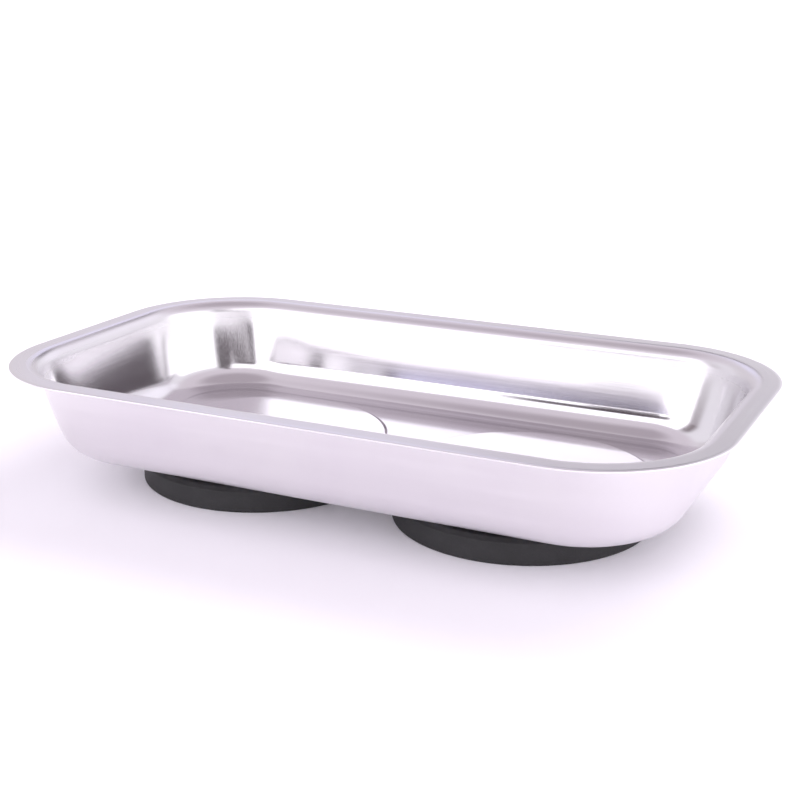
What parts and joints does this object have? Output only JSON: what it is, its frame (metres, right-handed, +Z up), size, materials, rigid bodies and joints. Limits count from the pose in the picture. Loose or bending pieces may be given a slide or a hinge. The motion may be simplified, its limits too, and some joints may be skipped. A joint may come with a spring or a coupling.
{
  "type": "parts sorting tray",
  "caption": "Shallow stainless tray with a flat rounded rim, sloping walls and embossed floor discs, standing on round rubber-covered ring magnets that hold small steel parts.",
  "frame": {"origin": "on the bench under the middle of the tray, at the centre of the base of the bounding box", "axes": "+X along the tray's length, towards the right foot; +Y across the tray; +Z up, out of the tray's mouth"},
  "size_m": [0.2414, 0.1396, 0.0437],
  "materials": {
    "tray_steel": "satin brushed stainless",
    "boot_rubber": "matt, fine moulded grain",
    "pot_steel": "zinc plated",
    "ferrite": "matt sintered",
    "spacer_rubber": "matt",
    "stud_steel": "copper flashed weld stud",
    "zinc_steel": "bright zinc plated",
    "spring_steel": "dull zinc plated"
  },
  "bodies": {
    "root": {"tray_body": "tray_steel", "left_rubber_boot": "boot_rubber", "left_magnet_cup": "pot_steel", "left_ring_magnet": "ferrite", "left_spacer": "spacer_rubber", "left_weld_stud": "stud_steel", "left_flat_washer": "zinc_steel", "left_lock_washer": "spring_steel", "left_hex_nut": "zinc_steel", "right_rubber_boot": "boot_rubber", "right_magnet_cup": "pot_steel", "right_ring_magnet": "ferrite", "right_spacer": "spacer_rubber", "right_weld_stud": "stud_steel", "right_flat_washer": "zinc_steel", "right_lock_washer": "spring_steel", "right_hex_nut": "zinc_steel"}
  },
  "joints": []
}
